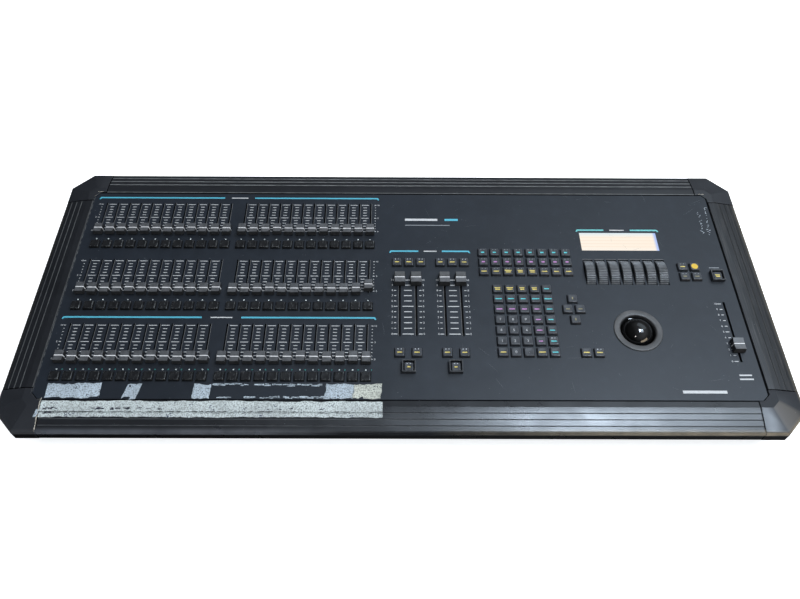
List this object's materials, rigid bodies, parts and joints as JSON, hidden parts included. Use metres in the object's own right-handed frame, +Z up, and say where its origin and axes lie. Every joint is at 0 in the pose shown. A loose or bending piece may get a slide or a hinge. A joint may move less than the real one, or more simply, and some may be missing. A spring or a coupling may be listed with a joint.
{
  "type": "lighting control desk",
  "caption": "Table-top stage lighting control desk with rows of slide faders and bump keys, a programming keypad, encoder wheels, a display and a trackball.",
  "frame": {"origin": "centre of the desk on the surface it stands on, under its feet", "axes": "+X to the operator's right, +Y away from the operator, +Z up out of the control surface"},
  "size_m": [1.138, 0.4894, 0.0962],
  "materials": {
    "pan_paint": "fine textured black powder coat",
    "panel_paint": "satin blue-black paint, lightly worn",
    "rail_paint": "satin charcoal paint on extruded aluminium",
    "casting_paint": "satin charcoal paint, chipped at the edges",
    "display_glass": "clear window, gloss",
    "module_case": "matte",
    "bezel_plastic": "fine satin",
    "housing_plastic": "matte",
    "guard_plastic": "satin",
    "pot_steel": "plated sheet steel",
    "led_lens": "diffused lens",
    "switch_plastic": "matte",
    "board_resin": "solder mask",
    "bracket_steel": "zinc plated",
    "supply_case": "mill finish",
    "connector_paint": "satin grey",
    "foot_rubber": "matte",
    "screw_steel": "zinc plated",
    "cap_plastic": "moulded, with a white pointer line",
    "wheel_rubber": "ribbed, satin",
    "ball_resin": "polished",
    "roller_steel": "ground",
    "bump_plastic": "semi-gloss",
    "key_plastic": "satin moulded"
  },
  "bodies": {
    "root": {"base_pan": "pan_paint", "top_panel": "panel_paint", "front_rail": "rail_paint", "rear_rail": "rail_paint", "left_rail": "rail_paint", "right_rail": "rail_paint", "corner_front_left": "casting_paint", "corner_front_right": "casting_paint", "corner_rear_left": "casting_paint", "corner_rear_right": "casting_paint", "display_window": "display_glass", "display_module": "module_case", "trackball_bezel": "bezel_plastic", "trackball_housing": "housing_plastic", "key_guards": "guard_plastic", "upper_fader_pots": "pot_steel", "middle_fader_pots": "pot_steel", "lower_fader_pots": "pot_steel", "master_fader_pots": "pot_steel", "indicator_leds": "led_lens", "key_switches": "switch_plastic", "circuit_boards": "board_resin", "wheel_bracket": "bracket_steel", "power_supply": "supply_case", "connector_panel": "connector_paint", "rubber_feet": "foot_rubber", "pan_screws": "screw_steel"},
    "upper_faders_left": {"upper_faders_left": "cap_plastic"},
    "upper_faders_right": {"upper_faders_right": "cap_plastic"},
    "middle_faders_left": {"middle_faders_left": "cap_plastic"},
    "middle_faders_right": {"middle_faders_right": "cap_plastic"},
    "lower_faders_left": {"lower_faders_left": "cap_plastic"},
    "lower_faders_right": {"lower_faders_right": "cap_plastic"},
    "middle_fader_24": {"middle_fader_24": "cap_plastic"},
    "cross_fader_1": {"cross_fader_1": "cap_plastic"},
    "cross_fader_2": {"cross_fader_2": "cap_plastic"},
    "cross_fader_3": {"cross_fader_3": "cap_plastic"},
    "cross_fader_4": {"cross_fader_4": "cap_plastic"},
    "grand_master_fader": {"grand_master_fader": "cap_plastic"},
    "encoder_wheel_1": {"encoder_wheel_1": "wheel_rubber"},
    "encoder_wheel_2": {"encoder_wheel_2": "wheel_rubber"},
    "encoder_wheel_3": {"encoder_wheel_3": "wheel_rubber"},
    "encoder_wheel_4": {"encoder_wheel_4": "wheel_rubber"},
    "encoder_wheel_5": {"encoder_wheel_5": "wheel_rubber"},
    "encoder_wheel_6": {"encoder_wheel_6": "wheel_rubber"},
    "encoder_wheel_7": {"encoder_wheel_7": "wheel_rubber"},
    "trackball": {"trackball": "ball_resin"},
    "trackball_roller": {"trackball_roller": "roller_steel"},
    "upper_bump_keys": {"upper_bump_keys": "bump_plastic"},
    "middle_bump_keys": {"middle_bump_keys": "bump_plastic"},
    "lower_bump_keys": {"lower_bump_keys": "bump_plastic"},
    "fader_keys": {"fader_keys": "key_plastic"},
    "hold_keys": {"hold_keys": "key_plastic"},
    "go_keys": {"go_keys": "key_plastic"},
    "blackout_key": {"blackout_key": "key_plastic"},
    "function_keys": {"function_keys": "key_plastic"},
    "keypad_keys": {"keypad_keys": "key_plastic"},
    "arrow_keys": {"arrow_keys": "key_plastic"},
    "page_keys": {"page_keys": "key_plastic"},
    "status_keys": {"status_keys": "key_plastic"}
  },
  "joints": [
    {"name": "upper_faders_left_slide", "type": "slide", "parent": "root", "child": "upper_faders_left", "axis": [0, 1, 0], "range_m": [0, 0.0578]},
    {"name": "upper_faders_right_slide", "type": "slide", "parent": "root", "child": "upper_faders_right", "axis": [0, 1, 0], "range_m": [0, 0.0578]},
    {"name": "middle_faders_left_slide", "type": "slide", "parent": "root", "child": "middle_faders_left", "axis": [0, 1, 0], "range_m": [0, 0.0578]},
    {"name": "middle_faders_right_slide", "type": "slide", "parent": "root", "child": "middle_faders_right", "axis": [0, 1, 0], "range_m": [0, 0.0578]},
    {"name": "lower_faders_left_slide", "type": "slide", "parent": "root", "child": "lower_faders_left", "axis": [0, 1, 0], "range_m": [0, 0.0578]},
    {"name": "lower_faders_right_slide", "type": "slide", "parent": "root", "child": "lower_faders_right", "axis": [0, 1, 0], "range_m": [0, 0.0578]},
    {"name": "middle_fader_24_slide", "type": "slide", "parent": "root", "child": "middle_fader_24", "axis": [0, 1, 0], "range_m": [-0.008, 0.0498]},
    {"name": "cross_fader_1_slide", "type": "slide", "parent": "root", "child": "cross_fader_1", "axis": [0, 1, 0], "range_m": [-0.099, 0.001]},
    {"name": "cross_fader_2_slide", "type": "slide", "parent": "root", "child": "cross_fader_2", "axis": [0, 1, 0], "range_m": [-0.099, 0.001]},
    {"name": "cross_fader_3_slide", "type": "slide", "parent": "root", "child": "cross_fader_3", "axis": [0, 1, 0], "range_m": [-0.099, 0.001]},
    {"name": "cross_fader_4_slide", "type": "slide", "parent": "root", "child": "cross_fader_4", "axis": [0, 1, 0], "range_m": [-0.099, 0.001]},
    {"name": "grand_master_fader_slide", "type": "slide", "parent": "root", "child": "grand_master_fader", "axis": [0, 1, 0], "range_m": [-0.0227, 0.0773]},
    {"name": "encoder_wheel_1_spin", "type": "hinge", "parent": "root", "child": "encoder_wheel_1", "pos_m": [0.298, 0.02975, 0.05843], "axis": [1, 0, 0], "continuous": true},
    {"name": "encoder_wheel_2_spin", "type": "hinge", "parent": "root", "child": "encoder_wheel_2", "pos_m": [0.3171, 0.02975, 0.05843], "axis": [1, 0, 0], "continuous": true},
    {"name": "encoder_wheel_3_spin", "type": "hinge", "parent": "root", "child": "encoder_wheel_3", "pos_m": [0.3362, 0.02975, 0.05843], "axis": [1, 0, 0], "continuous": true},
    {"name": "encoder_wheel_4_spin", "type": "hinge", "parent": "root", "child": "encoder_wheel_4", "pos_m": [0.3553, 0.02975, 0.05843], "axis": [1, 0, 0], "continuous": true},
    {"name": "encoder_wheel_5_spin", "type": "hinge", "parent": "root", "child": "encoder_wheel_5", "pos_m": [0.3744, 0.02975, 0.05843], "axis": [1, 0, 0], "continuous": true},
    {"name": "encoder_wheel_6_spin", "type": "hinge", "parent": "root", "child": "encoder_wheel_6", "pos_m": [0.3935, 0.02975, 0.05843], "axis": [1, 0, 0], "continuous": true},
    {"name": "encoder_wheel_7_spin", "type": "hinge", "parent": "root", "child": "encoder_wheel_7", "pos_m": [0.4126, 0.02975, 0.05843], "axis": [1, 0, 0], "continuous": true},
    {"name": "trackball_roll", "type": "hinge", "parent": "root", "child": "trackball", "pos_m": [0.355, -0.07975, 0.0708], "axis": [1, 0, 0], "continuous": true},
    {"name": "trackball_roller_spin", "type": "hinge", "parent": "root", "child": "trackball_roller", "pos_m": [0.355, -0.05005, 0.0708], "axis": [1, 0, 0], "continuous": true},
    {"name": "upper_bump_keys_press", "type": "slide", "parent": "root", "child": "upper_bump_keys", "axis": [0, 0, -1], "range_m": [0, 0.003], "stiffness_N_per_m": 3600, "springref_m": -0.002},
    {"name": "middle_bump_keys_press", "type": "slide", "parent": "root", "child": "middle_bump_keys", "axis": [0, 0, -1], "range_m": [0, 0.003], "stiffness_N_per_m": 3600, "springref_m": -0.002},
    {"name": "lower_bump_keys_press", "type": "slide", "parent": "root", "child": "lower_bump_keys", "axis": [0, 0, -1], "range_m": [0, 0.003], "stiffness_N_per_m": 3600, "springref_m": -0.002},
    {"name": "fader_keys_press", "type": "slide", "parent": "root", "child": "fader_keys", "axis": [0, 0, -1], "range_m": [0, 0.003], "stiffness_N_per_m": 900, "springref_m": -0.002},
    {"name": "hold_keys_press", "type": "slide", "parent": "root", "child": "hold_keys", "axis": [0, 0, -1], "range_m": [0, 0.003], "stiffness_N_per_m": 600, "springref_m": -0.002},
    {"name": "go_keys_press", "type": "slide", "parent": "root", "child": "go_keys", "axis": [0, 0, -1], "range_m": [0, 0.003], "stiffness_N_per_m": 300, "springref_m": -0.002},
    {"name": "blackout_key_press", "type": "slide", "parent": "root", "child": "blackout_key", "axis": [0, 0, -1], "range_m": [0, 0.003], "stiffness_N_per_m": 150, "springref_m": -0.002},
    {"name": "function_keys_press", "type": "slide", "parent": "root", "child": "function_keys", "axis": [0, 0, -1], "range_m": [0, 0.003], "stiffness_N_per_m": 3600, "springref_m": -0.002},
    {"name": "keypad_keys_press", "type": "slide", "parent": "root", "child": "keypad_keys", "axis": [0, 0, -1], "range_m": [0, 0.003], "stiffness_N_per_m": 5250, "springref_m": -0.002},
    {"name": "arrow_keys_press", "type": "slide", "parent": "root", "child": "arrow_keys", "axis": [0, 0, -1], "range_m": [0, 0.003], "stiffness_N_per_m": 600, "springref_m": -0.002},
    {"name": "page_keys_press", "type": "slide", "parent": "root", "child": "page_keys", "axis": [0, 0, -1], "range_m": [0, 0.003], "stiffness_N_per_m": 300, "springref_m": -0.002},
    {"name": "status_keys_press", "type": "slide", "parent": "root", "child": "status_keys", "axis": [0, 0, -1], "range_m": [0, 0.003], "stiffness_N_per_m": 600, "springref_m": -0.002}
  ],
  "couplings": [
    {"joint": "trackball_roller_spin", "follows": "trackball_roll", "ratio": -6.35}
  ]
}
